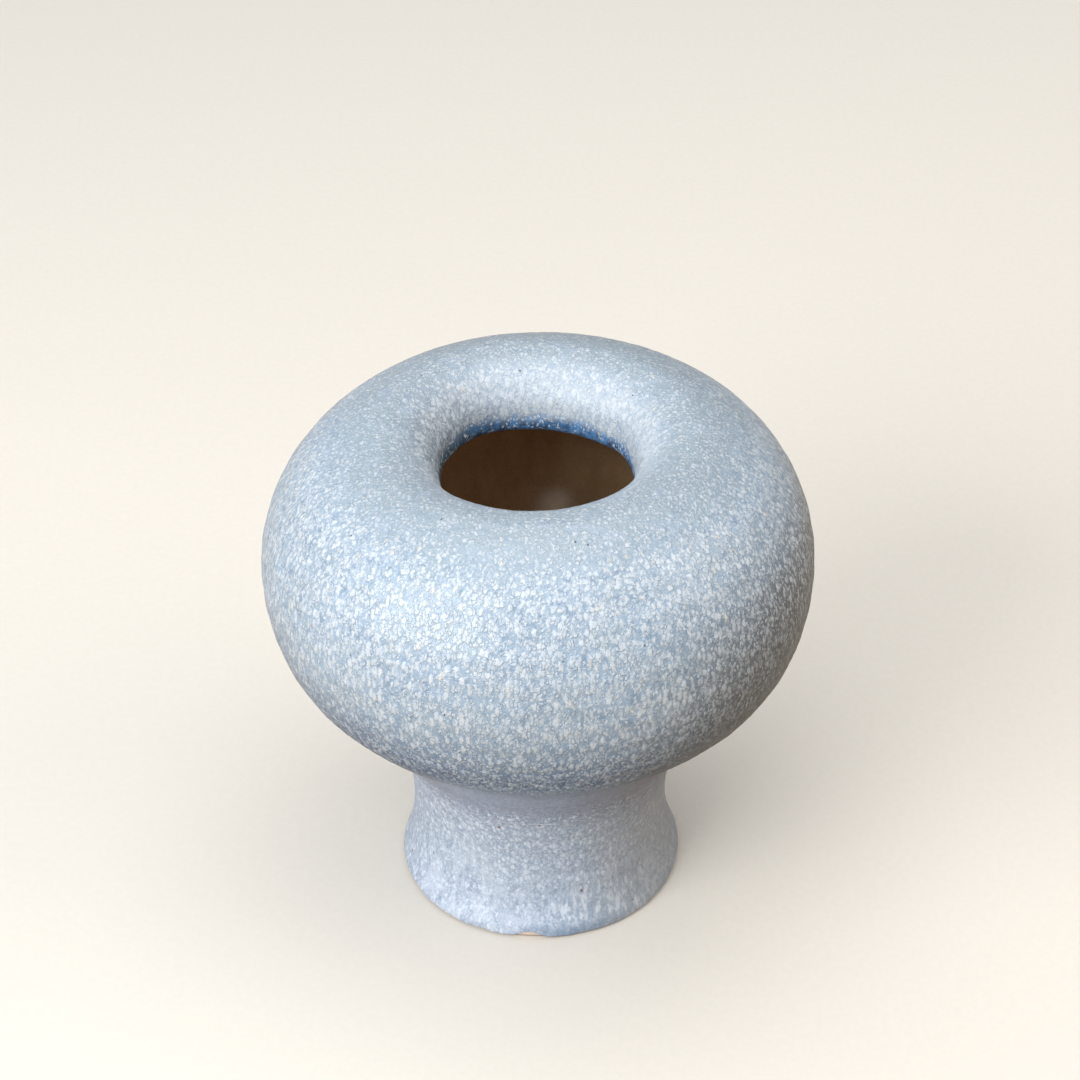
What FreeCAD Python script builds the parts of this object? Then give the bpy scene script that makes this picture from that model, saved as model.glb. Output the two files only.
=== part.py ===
import FreeCAD, Part
import math
import os

import Sketcher

# Flower vase: a closed-in stoneware bulb with a rolled lip, on a waisted hollow foot.
#
# The vase is thrown on a wheel, so every piece is the half section of one ring or
# shell turned about Z. The origin is the centre of the foot ring on the table.
# The outer surface is one chain of tangent arcs, from the base up:
#   foot (hollow curve), neck (hollow curve), under, belly, shoulder, lip, throat.
# Clay, glaze and liner are layers at increasing depth below that surface. A layer
# boundary at depth d is the same chain with round arcs d smaller and hollow arcs
# d larger, about the same centres, so neighbouring layers touch along a face.

SHEET = "sizes"

# Driving dimensions in millimetres.
DIMENSIONS = {
    # outer surface
    "bulb_radius": 100.0,
    "belly_height": 141.0,
    "belly_arc": 72.0,
    "under_arc": 50.0,
    "shoulder_arc": 56.0,
    "lip_arc": 19.0,
    "throat_radius": 36.0,
    "rim_height": 173.0,
    "neck_arc": 82.0,
    "waist_radius": 48.0,
    "waist_height": 29.5,
    "foot_arc": 77.0,
    "seam_height": 55.5,
    # clay
    "shell_wall": 6.5,
    "floor_height": 64.0,
    "floor_round": 10.0,
    "foot_wall": 7.0,
    "foot_edge": 0.6,
    # glaze and joining slip
    "glaze_coat": 0.6,
    "liner_coat": 0.5,
    "slip_bed": 0.8,
    "crease_round": 0.3,
    "bare_edge": 0.8,
}

# Layer stacks: what lies between the outer surface and a layer boundary.
SURFACE = ()
UNDER_GLAZE = ("glaze_coat",)
CHAMBER_CLAY = ("glaze_coat", "shell_wall")
CHAMBER_SURFACE = ("glaze_coat", "shell_wall", "liner_coat")
FOOT_HOLLOW = ("glaze_coat", "foot_wall")

# Ends of a sketch edge and the centre of an arc, then the sketch's own axes, as the
# sketcher numbers them.
START, END, CENTRE = 1, 2, 3
TABLE_LINE = -1
AXIS = -2
ORIGIN = (TABLE_LINE, START)


def build_sheet(doc):
    """Put the driving dimensions in a spreadsheet, one alias each."""
    sheet = doc.addObject("Spreadsheet::Sheet", SHEET)
    for row, (alias, value) in enumerate(DIMENSIONS.items(), start=1):
        sheet.set(f"A{row}", alias)
        sheet.set(f"B{row}", str(value))
        sheet.setAlias(f"B{row}", alias)
    doc.recompute()
    return sheet


def term(alias):
    """Expression that reads one cell of the sheet."""
    return f"{SHEET}.{alias}"


def depth_term(layers):
    """Expression for the summed thickness of the layers."""
    return " + ".join(term(layer) for layer in layers) or "0"


def round_term(alias, layers):
    """Radius of a round arc of the surface, at the depth of the layers."""
    return f"{term(alias)} - ({depth_term(layers)})"


def hollow_term(alias, layers):
    """Radius of a hollow arc of the surface, at the depth of the layers."""
    return f"{term(alias)} + {depth_term(layers)}"


def crossing(first, first_radius, second, second_radius):
    """Upper left crossing point of two circles given by centre and radius."""
    across = second[0] - first[0]
    up = second[1] - first[1]
    gap = math.hypot(across, up)
    along = (gap**2 + first_radius**2 - second_radius**2) / (2 * gap)
    side = math.sqrt(first_radius**2 - along**2)
    x = first[0] + (along * across + side * up) / gap
    y = first[1] + (along * up - side * across) / gap
    return x, y


def bearing(start, end):
    """Direction from start to end in degrees."""
    return math.degrees(math.atan2(end[1] - start[1], end[0] - start[0]))


class Form:
    """Centres and tangent angles of the arcs of the outer surface."""

    def __init__(self, sheet):
        size = {alias: sheet.get(alias) for alias in DIMENSIONS}
        self.size = size
        belly_height = size["belly_height"]
        self.belly = (size["bulb_radius"] - size["belly_arc"], belly_height)
        self.shoulder = (size["bulb_radius"] - size["shoulder_arc"], belly_height)
        self.neck = (size["waist_radius"] + size["neck_arc"], size["waist_height"])
        self.foot = (size["waist_radius"] + size["foot_arc"], size["waist_height"])
        self.under = crossing(
            self.neck,
            size["neck_arc"] + size["under_arc"],
            self.belly,
            size["belly_arc"] - size["under_arc"],
        )
        lip_across = size["throat_radius"] + size["lip_arc"] - self.shoulder[0]
        self.lip_angle = math.degrees(math.acos(lip_across / (size["shoulder_arc"] - size["lip_arc"])))
        lip_up = lip_across * math.tan(math.radians(self.lip_angle))
        self.lip = (self.shoulder[0] + lip_across, belly_height + lip_up)
        self.under_angle = bearing(self.under, self.neck)
        self.belly_angle = bearing(self.belly, self.under)

    def depth(self, layers):
        """Summed thickness of the layers in millimetres."""
        return sum(self.size[layer] for layer in layers)

    def arc_angle(self, centre, radius, height):
        """Angle at which the hollow side of an arc passes a height."""
        return 180.0 - math.degrees(math.asin((height - centre[1]) / radius))

    def neck_angle(self, height, depth):
        """Angle at which the neck arc passes a height, at a depth."""
        return self.arc_angle(self.neck, self.size["neck_arc"] + depth, height)


class Section:
    """Half section of one piece in its body's XZ plane: sketch x is radius, sketch y is height."""

    def __init__(self, doc, form, name):
        self.form = form
        self.size = form.size
        self.body = doc.addObject("PartDesign::Body", name)
        self.body.Label = name
        self.body.Placement = FreeCAD.Placement()
        self.sketch = self.body.newObject("Sketcher::SketchObject", f"{name}_section")
        plane = next(face for face in self.body.Origin.OriginFeatures if face.Role == "XZ_Plane")
        self.sketch.AttachmentSupport = (plane, [""])
        self.sketch.MapMode = "FlatFace"

    def arc(self, centre, radius, low, high):
        """Add an arc that runs counter-clockwise from angle low to angle high."""
        circle = Part.Circle(FreeCAD.Vector(*centre, 0), FreeCAD.Vector(0, 0, 1), radius)
        arc = Part.ArcOfCircle(circle, math.radians(low), math.radians(high))
        return self.sketch.addGeometry(arc, False)

    def line(self, start, end):
        """Add a straight edge."""
        segment = Part.LineSegment(FreeCAD.Vector(*start, 0), FreeCAD.Vector(*end, 0))
        return self.sketch.addGeometry(segment, False)

    def point(self, edge, where):
        """Place of an end or centre of an edge."""
        spot = self.sketch.getPoint(edge, where)
        return spot.x, spot.y

    def hold(self, kind, *where):
        """Add a constraint that has no size."""
        self.sketch.addConstraint(Sketcher.Constraint(kind, *where))

    def measure(self, kind, where, value, expression):
        """Add a constraint whose size follows the sheet."""
        number = self.sketch.addConstraint(Sketcher.Constraint(kind, *where, value))
        self.sketch.setExpression(f"Constraints[{number}]", expression)

    def radius(self, arc, value, expression):
        self.measure("Radius", (arc,), value, expression)

    def across(self, edge, where, expression):
        """Fix the radius at which a point lies from the axis."""
        self.measure("DistanceX", (*ORIGIN, edge, where), self.point(edge, where)[0], expression)

    def height(self, edge, where, expression):
        """Fix the height of a point above the table."""
        self.measure("DistanceY", (*ORIGIN, edge, where), self.point(edge, where)[1], expression)

    def hollow_arc(self, name, centre, layers, low, high):
        """Add the neck or foot arc at the depth of the layers."""
        radius = self.size[name] + self.form.depth(layers)
        arc = self.arc(centre, radius, low, high)
        self.radius(arc, radius, hollow_term(name, layers))
        self.height(arc, CENTRE, term("waist_height"))
        return arc

    def round_arc(self, name, centre, layers, low, high):
        """Add a round arc of the bulb at the depth of the layers."""
        radius = self.size[name] - self.form.depth(layers)
        arc = self.arc(centre, radius, low, high)
        self.radius(arc, radius, round_term(name, layers))
        return arc

    def neck_arc(self, layers, low, high):
        """Add the neck arc, centred outside the waist."""
        arc = self.hollow_arc("neck_arc", self.form.neck, layers, low, high)
        self.across(arc, CENTRE, f"{term('waist_radius')} + {term('neck_arc')}")
        return arc

    def turn(self):
        """Revolve the finished section about the vase's axis."""
        turned = self.body.newObject("PartDesign::Revolution", f"{self.body.Name}_turned")
        turned.Profile = self.sketch
        turned.ReferenceAxis = (self.sketch, ["V_Axis"])
        turned.Angle = 360.0
        self.body.Tip = turned
        return self.body


def bulb_side(section, layers):
    """Draw the bulb's wall line at the depth of the layers, from the neck up to the throat."""
    form = section.form
    size = section.size
    depth = form.depth(layers)
    foot_end = form.neck_angle(size["seam_height"], depth)
    neck = section.neck_arc(layers, form.under_angle + 180.0, foot_end)
    under = section.round_arc("under_arc", form.under, layers, form.under_angle, form.belly_angle)
    belly = section.round_arc("belly_arc", form.belly, layers, form.belly_angle, 0.0)
    shoulder = section.round_arc("shoulder_arc", form.shoulder, layers, 0.0, form.lip_angle)
    lip = section.round_arc("lip_arc", form.lip, layers, form.lip_angle, 180.0)
    throat_top = section.point(lip, END)
    throat = section.line(throat_top, (throat_top[0], size["rim_height"]))

    section.across(belly, CENTRE, f"{term('bulb_radius')} - {term('belly_arc')}")
    section.height(belly, CENTRE, term("belly_height"))
    section.height(shoulder, CENTRE, term("belly_height"))
    section.across(lip, CENTRE, f"{term('throat_radius')} + {term('lip_arc')}")
    section.hold("Tangent", neck, START, under, START)
    section.hold("Tangent", under, END, belly, START)
    section.hold("Tangent", belly, END, shoulder, START)
    section.hold("Tangent", shoulder, END, lip, START)
    section.hold("Tangent", lip, END, throat, START)
    section.hold("Vertical", throat)
    return neck, throat


def rim_quarter(section, throat, layers, coat, outside):
    """Round the wall line under the rim, down to the rim's lowest point."""
    size = section.size
    radius = size["shell_wall"] / 2 + (size[coat] if coat else 0.0)
    half_wall = f"{term('shell_wall')} / 2"
    wall_line = section.point(throat, END)[0]
    centre = (wall_line + (radius if outside else -radius), size["rim_height"])
    low, high, side, bottom = (180.0, 270.0, START, END) if outside else (270.0, 360.0, END, START)
    rim = section.arc(centre, radius, low, high)
    section.radius(rim, radius, f"{half_wall} + {term(coat)}" if coat else half_wall)
    section.height(rim, CENTRE, term("rim_height"))
    section.hold("Tangent", throat, END, rim, side)
    section.hold("Vertical", rim, CENTRE, rim, bottom)
    return rim, bottom


def close_rim(section, first, second):
    """Join two rim quarters of one coat at the rim's lowest point."""
    cap = section.line(section.point(*first), section.point(*second))
    section.hold("Coincident", cap, START, *first)
    section.hold("Coincident", cap, END, *second)


def chamber_floor(section, neck, coat):
    """Draw the chamber's round corner and flat floor, inwards to the axis."""
    size = section.size
    lift = size[coat] if coat else 0.0
    radius = size["floor_round"] - lift
    level = size["floor_height"] + lift
    neck_radius = section.sketch.Geometry[neck].Radius
    corner_up = level + radius - section.form.neck[1]
    corner_across = math.sqrt((neck_radius + radius) ** 2 - corner_up**2)
    centre = (section.form.neck[0] - corner_across, level + radius)
    corner = section.arc(centre, radius, 270.0, 360.0 + bearing(centre, section.form.neck))
    floor = section.line((0.0, level), (centre[0], level))
    lift_term = term(coat) if coat else "0"
    section.radius(corner, radius, f"{term('floor_round')} - {lift_term}")
    section.height(floor, START, f"{term('floor_height')} + {lift_term}")
    section.hold("Tangent", corner, END, neck, END)
    section.hold("Tangent", floor, END, corner, START)
    section.hold("Horizontal", floor)
    section.hold("PointOnObject", floor, START, AXIS)
    return floor


def axis_line(section, upper, lower):
    """Close a section along the axis between the starts of two level edges."""
    edge = section.line(section.point(upper, START), section.point(lower, START))
    section.hold("Coincident", edge, START, upper, START)
    section.hold("Coincident", edge, END, lower, START)


def level_edge(section, start, end, expression):
    """Add a level edge at a height that follows the sheet."""
    edge = section.line(start, end)
    section.hold("Horizontal", edge)
    section.height(edge, START, expression)
    return edge


def glaze_edge(section, inner, outer, height_term, above):
    """End a coat on a level edge with a rounded outer corner.

    inner and outer are the (edge, end) pairs of the coat's two faces, and above
    says whether the coat lies above its edge or below it.
    """
    size = section.size
    radius = size["crease_round"]
    up = radius if above else -radius
    inner_x, level = section.point(*inner)
    corner_x = section.point(*outer)[0] - radius
    edge = level_edge(section, (inner_x, level), (corner_x, level), height_term)
    slope = bearing(section.point(*outer), section.point(outer[0], CENTRE))
    low, high, flat, side = (270.0, 360.0 + slope, START, END) if above else (slope, 90.0, END, START)
    corner = section.arc((corner_x, level + up), radius, low, high)
    section.radius(corner, radius, term("crease_round"))
    section.hold("Coincident", edge, START, *inner)
    section.hold("Tangent", edge, END, corner, flat)
    section.hold("Tangent", corner, side, *outer)


def foot_side(section, layers, top, base):
    """Draw the foot's wall line at the depth of the layers, between two heights."""
    form = section.form
    depth = form.depth(layers)
    neck = section.neck_arc(layers, form.neck_angle(top, depth), 180.0)
    base_angle = form.arc_angle(form.foot, section.size["foot_arc"] + depth, base)
    foot = section.hollow_arc("foot_arc", form.foot, layers, 180.0, base_angle)
    section.hold("Tangent", neck, END, foot, START)
    return neck, foot


def build_bulb_glaze(doc, form):
    """Outer coat of the bulb, from the seam up over the lip to the bottom of the rim."""
    section = Section(doc, form, "bulb_glaze")
    outer_neck, outer_throat = bulb_side(section, SURFACE)
    inner_neck, inner_throat = bulb_side(section, UNDER_GLAZE)
    outer_rim = rim_quarter(section, outer_throat, SURFACE, "glaze_coat", outside=True)
    inner_rim = rim_quarter(section, inner_throat, UNDER_GLAZE, None, outside=True)
    close_rim(section, outer_rim, inner_rim)
    glaze_edge(section, (inner_neck, END), (outer_neck, END), term("seam_height"), above=True)
    return section.turn()


def build_bulb_shell(doc, form):
    """Clay bulb with its own floor. Its stub ends on the bed of slip."""
    section = Section(doc, form, "bulb_shell")
    outer_neck, outer_throat = bulb_side(section, UNDER_GLAZE)
    inner_neck, inner_throat = bulb_side(section, CHAMBER_CLAY)
    half_wall = section.size["shell_wall"] / 2
    throat_x, rim_height = section.point(outer_throat, END)
    rim = section.arc((throat_x + half_wall, rim_height), half_wall, 180.0, 360.0)
    section.height(rim, CENTRE, term("rim_height"))
    section.hold("Tangent", outer_throat, END, rim, START)
    section.hold("Tangent", inner_throat, END, rim, END)

    floor = chamber_floor(section, inner_neck, None)
    stub_x, level = section.point(outer_neck, END)
    stub_face = f"{term('seam_height')} + {term('slip_bed')} / 2"
    underside = level_edge(section, (0.0, level), (stub_x, level), stub_face)
    section.hold("PointOnObject", underside, START, AXIS)
    section.hold("Coincident", underside, END, outer_neck, END)
    axis_line(section, floor, underside)
    return section.turn()


def build_liner_glaze(doc, form):
    """Coat inside the chamber, from the bottom of the rim to the whole floor."""
    section = Section(doc, form, "liner_glaze")
    clay_neck, clay_throat = bulb_side(section, CHAMBER_CLAY)
    free_neck, free_throat = bulb_side(section, CHAMBER_SURFACE)
    clay_rim = rim_quarter(section, clay_throat, CHAMBER_CLAY, None, outside=False)
    free_rim = rim_quarter(section, free_throat, CHAMBER_SURFACE, "liner_coat", outside=False)
    close_rim(section, clay_rim, free_rim)
    clay_floor = chamber_floor(section, clay_neck, None)
    free_floor = chamber_floor(section, free_neck, "liner_coat")
    axis_line(section, free_floor, clay_floor)
    return section.turn()


def build_pedestal_foot(doc, form):
    """Clay foot: a waisted spool, open underneath, that stands on a rounded ring."""
    section = Section(doc, form, "pedestal_foot")
    size = section.size
    top = size["seam_height"] - size["slip_bed"] / 2
    outer_neck, outer_foot = foot_side(section, UNDER_GLAZE, top, size["foot_edge"])
    inner_neck, inner_foot = foot_side(section, FOOT_HOLLOW, top, size["foot_edge"])
    top_face = f"{term('seam_height')} - {term('slip_bed')} / 2"
    inner_top = section.point(inner_neck, START)
    outer_top = section.point(outer_neck, START)
    joint_face = level_edge(section, inner_top, outer_top, top_face)
    section.hold("Coincident", joint_face, START, inner_neck, START)
    section.hold("Coincident", joint_face, END, outer_neck, START)

    radius = size["foot_edge"]
    inner_x = section.point(inner_foot, END)[0] + radius
    outer_x = section.point(outer_foot, END)[0] - radius
    ring = section.line((inner_x, 0.0), (outer_x, 0.0))
    section.hold("Horizontal", ring)
    section.hold("PointOnObject", ring, START, TABLE_LINE)
    inner_slope = bearing(section.point(inner_foot, CENTRE), section.point(inner_foot, END))
    outer_slope = bearing(section.point(outer_foot, END), section.point(outer_foot, CENTRE))
    inner_edge = section.arc((inner_x, radius), radius, inner_slope % 360.0, 270.0)
    outer_edge = section.arc((outer_x, radius), radius, -90.0, outer_slope)
    section.radius(inner_edge, radius, term("foot_edge"))
    section.radius(outer_edge, radius, term("foot_edge"))
    section.hold("Tangent", inner_foot, END, inner_edge, START)
    section.hold("Tangent", inner_edge, END, ring, START)
    section.hold("Tangent", ring, END, outer_edge, START)
    section.hold("Tangent", outer_edge, END, outer_foot, END)
    return section.turn()


def build_foot_glaze(doc, form):
    """Outer coat of the foot, from the seam down to the bare clay edge."""
    section = Section(doc, form, "foot_glaze")
    size = section.size
    outer_neck, outer_foot = foot_side(section, SURFACE, size["seam_height"], size["bare_edge"])
    inner_neck, inner_foot = foot_side(section, UNDER_GLAZE, size["seam_height"], size["bare_edge"])
    glaze_edge(section, (inner_neck, START), (outer_neck, START), term("seam_height"), above=False)
    glaze_edge(section, (inner_foot, END), (outer_foot, END), term("bare_edge"), above=True)
    return section.turn()


def build_slip_joint(doc, form):
    """Ring of joining slip between the bulb's stub and the foot, bulging into the hollow foot."""
    section = Section(doc, form, "slip_joint")
    size = section.size
    half_bed = size["slip_bed"] / 2
    depth = form.depth(UNDER_GLAZE)
    top = size["seam_height"] + half_bed
    bottom = size["seam_height"] - half_bed
    face = section.neck_arc(UNDER_GLAZE, form.neck_angle(top, depth), form.neck_angle(bottom, depth))
    hollow_radius = size["neck_arc"] + form.depth(FOOT_HOLLOW)
    seam_rise = size["seam_height"] - size["waist_height"]
    inner_x = form.neck[0] - math.sqrt(hollow_radius**2 - seam_rise**2)
    bed_top = f"{term('seam_height')} + {term('slip_bed')} / 2"
    bed_bottom = f"{term('seam_height')} - {term('slip_bed')} / 2"
    upper = level_edge(section, (inner_x, top), section.point(face, START), bed_top)
    lower = level_edge(section, (inner_x, bottom), section.point(face, END), bed_bottom)
    bead = section.arc((inner_x, size["seam_height"]), half_bed, 90.0, 270.0)
    rise = f"({term('seam_height')} - {term('waist_height')})"
    reach = f"({hollow_term('neck_arc', FOOT_HOLLOW)})"
    hollow_face = f"{term('waist_radius')} + {term('neck_arc')} - sqrt({reach}^2 - {rise}^2)"
    section.across(bead, CENTRE, hollow_face)
    section.hold("Coincident", upper, END, face, START)
    section.hold("Coincident", lower, END, face, END)
    section.hold("Tangent", upper, START, bead, START)
    section.hold("Tangent", lower, START, bead, END)
    return section.turn()


def check(doc, bodies):
    """Stop if any object failed or any piece isn't one sound solid."""
    for item in doc.Objects:
        if {"Invalid", "Error"} & set(item.State):
            raise RuntimeError(f"{item.Name} is {item.State}")
        if item.TypeId == "Sketcher::SketchObject" and not item.FullyConstrained:
            raise RuntimeError(f"{item.Name} isn't fully constrained")
    for body in bodies:
        shape = body.Shape
        if shape.isNull() or not shape.isValid() or len(shape.Solids) != 1:
            raise RuntimeError(f"{body.Label} isn't one valid solid")


def main():
    doc = FreeCAD.newDocument("flower_vase")
    form = Form(build_sheet(doc))
    bodies = [
        build_bulb_shell(doc, form),
        build_pedestal_foot(doc, form),
        build_slip_joint(doc, form),
        build_bulb_glaze(doc, form),
        build_foot_glaze(doc, form),
        build_liner_glaze(doc, form),
    ]
    doc.recompute()
    check(doc, bodies)
    os.makedirs("parts", exist_ok=True)
    for body in bodies:
        body.Shape.exportStep(f"parts/{body.Label}.step")
        print(f"{body.Label}: {body.Shape.Volume:.0f} mm3")


main()
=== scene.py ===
import math
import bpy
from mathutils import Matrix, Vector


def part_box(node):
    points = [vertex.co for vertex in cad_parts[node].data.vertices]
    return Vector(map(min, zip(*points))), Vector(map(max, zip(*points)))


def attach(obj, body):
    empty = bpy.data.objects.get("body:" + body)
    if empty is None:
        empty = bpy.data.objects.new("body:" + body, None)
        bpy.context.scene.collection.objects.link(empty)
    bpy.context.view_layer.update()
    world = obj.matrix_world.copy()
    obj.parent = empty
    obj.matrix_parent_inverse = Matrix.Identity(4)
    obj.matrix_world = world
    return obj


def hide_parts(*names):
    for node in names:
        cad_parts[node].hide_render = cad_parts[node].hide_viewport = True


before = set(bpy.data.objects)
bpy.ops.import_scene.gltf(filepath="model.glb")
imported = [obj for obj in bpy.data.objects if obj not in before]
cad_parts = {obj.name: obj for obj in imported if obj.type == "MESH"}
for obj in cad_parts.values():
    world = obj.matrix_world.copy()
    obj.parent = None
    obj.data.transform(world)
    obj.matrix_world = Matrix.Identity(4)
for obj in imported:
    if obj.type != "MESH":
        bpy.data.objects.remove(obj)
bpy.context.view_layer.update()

from types import SimpleNamespace

import bpy
import numpy as np
from mathutils import Matrix, Vector, noise

# Looks of the flower vase. Every CAD node is stood for by a finer piece turned from the
# node's own outline, so all sizes and places come from the frame. All pieces share one
# slightly uneven, hand-thrown form, and the glaze coats carry a relief of their own.

MM = 0.001

# How finely the pieces are turned: segments round the axis and steps along the outline.
GLAZE_TURNS = 480
CLAY_TURNS = 240
GLAZE_STEP = 1.45 * MM
CLAY_STEP = 2.5 * MM
HIDDEN_STEP = 6.0 * MM
POLE_RADIUS = 0.05 * MM

# The node's own points are kept this near to a corner, up to this share of a run.
CORNER_REACH = 1.3 * MM
CORNER_SHARE = 0.3
CORNER_ANGLE = math.radians(30.0)
SAME_PLACE = 0.01 * MM


# ---------------------------------------------------------------- outlines from the frame

def half_section(node):
    """Half section of a turned CAD node as (radius, height) rows, anticlockwise, in metres.

    The mesh has an edge line in the half plane y = 0, x >= 0. A solid that reaches the
    axis has a line with two ends, and gets one point on the axis at each end.
    """
    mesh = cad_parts[node].data
    places = {}
    index = []
    for vertex in mesh.vertices:
        key = tuple(round(c / SAME_PLACE) for c in vertex.co)
        index.append(places.setdefault(key, len(places)))
    points = np.array(list(places)) * SAME_PLACE
    links = {}
    for edge in mesh.edges:
        a, b = (index[v] for v in edge.vertices)
        if a != b and in_half_plane(points[a]) and in_half_plane(points[b]):
            links.setdefault(a, set()).add(b)
            links.setdefault(b, set()).add(a)
    ends = [k for k in links if len(links[k]) == 1]
    order = follow(links, ends[0] if ends else min(links))
    rows = points[order][:, (0, 2)]
    if ends:
        rows = np.vstack([(0.0, rows[0, 1]), rows, (0.0, rows[-1, 1])])
    return rows if area(rows) > 0.0 else rows[::-1]


def in_half_plane(point):
    return abs(point[1]) <= SAME_PLACE and point[0] >= 0.0


def follow(links, start):
    """Point numbers along a line of links, from start to its end or back round to start."""
    order = [start]
    last = None
    while True:
        ahead = [k for k in sorted(links[order[-1]]) if k != last and k != start]
        if len(order) > 2 and not ahead:
            return order
        last = order[-1]
        order.append(ahead[0])


def area(rows):
    x, z = rows[:, 0], rows[:, 1]
    return 0.5 * float(np.sum(np.roll(x, 1) * z - x * np.roll(z, 1)))


def corners(rows):
    """Numbers of the points where a closed outline turns sharply."""
    before = rows - np.roll(rows, 1, axis=0)
    after = np.roll(rows, -1, axis=0) - rows
    turn = np.arctan2(after[:, 1], after[:, 0]) - np.arctan2(before[:, 1], before[:, 0])
    turn = (turn + math.pi) % (2.0 * math.pi) - math.pi
    return [int(k) for k in np.flatnonzero(np.abs(turn) > CORNER_ANGLE)]


def smooth_run(points, step):
    """Points about one step apart on a smooth curve through the given points."""
    chord = np.diff(points, axis=0)
    length = np.linalg.norm(chord, axis=1)
    heading = chord / length[:, None]
    slope = np.empty_like(points)
    if len(points) == 2:
        slope[:] = heading[0]
    else:
        near = heading[:-1] * length[1:, None] + heading[1:] * length[:-1, None]
        slope[1:-1] = near / (length[:-1] + length[1:])[:, None]
        slope[0] = 2.0 * heading[0] - slope[1]
        slope[-1] = 2.0 * heading[-1] - slope[-2]
    along = np.concatenate([[0.0], np.cumsum(length)])
    total = along[-1]
    grid = np.linspace(0.0, total, max(round(total / step), 1) + 1)
    reach = min(CORNER_REACH, CORNER_SHARE * total)
    kept = along[(along < reach) | (along > total - reach)]
    inner = grid[(grid > reach) & (grid < total - reach)]
    at = np.unique(np.concatenate([kept, inner]))
    k = np.clip(np.searchsorted(along, at, side="right") - 1, 0, len(length) - 1)
    h = length[k][:, None]
    u = ((at - along[k]) / length[k])[:, None]
    a, b, c, d = points[k], points[k + 1], slope[k] * h, slope[k + 1] * h
    rise = u * u * (3.0 - 2.0 * u)
    return a + (b - a) * rise + c * u * (1.0 - u) ** 2 - d * u * u * (1.0 - u)


def runs_between_corners(node, steps):
    """The node's outline as resampled runs, one spacing per run, anticlockwise."""
    rows = half_section(node)
    marks = corners(rows)
    runs = []
    for k, mark in enumerate(marks):
        stop = marks[(k + 1) % len(marks)]
        stop = stop if stop > mark else stop + len(rows)
        numbers = np.arange(mark, stop + 1) % len(rows)
        runs.append(smooth_run(rows[numbers], steps[k % len(steps)]))
    return runs


# ---------------------------------------------------------------- the hand-thrown form

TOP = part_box("bulb_glaze")[1].z
BULB_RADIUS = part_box("bulb_glaze")[1].x
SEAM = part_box("bulb_glaze")[0].z
BELLY = 0.72 * TOP


def ease(value, low, high):
    """0 at low, 1 at high, and a smooth step between; low may be above high."""
    t = np.clip((value - low) / (high - low), 0.0, 1.0)
    return t * t * (3.0 - 2.0 * t)


def bell(value, centre, width):
    return np.exp(-(((value - centre) / width) ** 2))


def around(angle, centre):
    """Signed difference of two angles, within half a turn."""
    return (angle - centre + math.pi) % (2.0 * math.pi) - math.pi


def facing(angle, direction, width):
    """1 where an angle in radians has the direction, 0 well off it; the others are in degrees."""
    return bell(around(angle, math.radians(direction)), 0.0, math.radians(width))


# Waves left by the hands: depth in mm, waves round the vase, their start in radians, and the
# height in mm over which they turn by one radian.
HAND_WAVES = (
    (0.22, 2.0, 1.1, 60.0), (0.14, 3.0, 4.0, 34.0), (0.10, 1.0, 0.0, 8.5 / (2.0 * math.pi)),
)

# The bulb is fuller on one side and the neck flatter on another: direction and width in degrees.
BULGE = 1.3 * MM
BULGE_HEIGHT = 0.55 * TOP
BULGE_TALL = 32.0 * MM
BULGE_SIDE = (-32.0, 42.0)
NECK_FLAT = 0.9 * MM
NECK_FLAT_TALL = 14.0 * MM
NECK_FLAT_SIDE = (180.0, 51.5662)

# The mouth is narrower than the exact form, slightly oval, lower, and off the axis.
MOUTH_NARROW = 0.75 * MM
MOUTH_OVAL = 0.35 * MM
MOUTH_DROP = 0.7 * MM
MOUTH_TILT = 0.008
MOUTH_RING = 0.07 * MM
MOUTH_RING_PITCH = 9.0 * MM
UPPER_TILT = 0.013
SIDE_SHIFT = 0.45 * MM

# Places where the mouth was pushed out, in or down: direction and width in degrees, reach in mm.
MOUTH_PUSHES = (
    (125.0, 24.0, 3.25), (160.5, 16.5, 1.4), (55.0, 28.0, -1.1), (32.0, 15.0, 0.9),
)
MOUTH_DIPS = ((201.0, 27.0, 2.7), (-15.0, 27.0, 1.6))

# The front of the foot's edge stands a little forward.
BASE_PULL = 2.2 * MM
BASE_TALL = 14.0 * MM
BASE_FRONT = (0.2, -0.8)

# Where these changes set in: heights over the table, and distances from the axis.
UPPER_HEIGHTS = (0.5 * TOP, TOP)
MOUTH_HEIGHTS = (0.68 * TOP, 0.85 * TOP)
MOUTH_RADII = (0.85 * BULB_RADIUS, 0.50 * BULB_RADIUS)
AXIS_RADII = (0.0, 0.25 * BULB_RADIUS)


def moved_out(r, angle, z, mouth):
    """How far the thrown form stands outside the exact form, in metres."""
    outward = np.zeros(len(r))
    for depth, waves, start, height in HAND_WAVES:
        outward += depth * MM * np.sin(waves * angle + start + z / (height * MM))
    outward += BULGE * bell(z, BULGE_HEIGHT, BULGE_TALL) * facing(angle, *BULGE_SIDE)
    outward *= ease(r, *AXIS_RADII)
    outward -= mouth * (MOUTH_NARROW + MOUTH_OVAL * np.cos(2.0 * angle))
    for direction, width, reach in MOUTH_PUSHES:
        outward += reach * MM * mouth * facing(angle, direction, width)
    outward -= NECK_FLAT * bell(z, SEAM, NECK_FLAT_TALL) * facing(angle, *NECK_FLAT_SIDE)
    return outward


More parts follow.
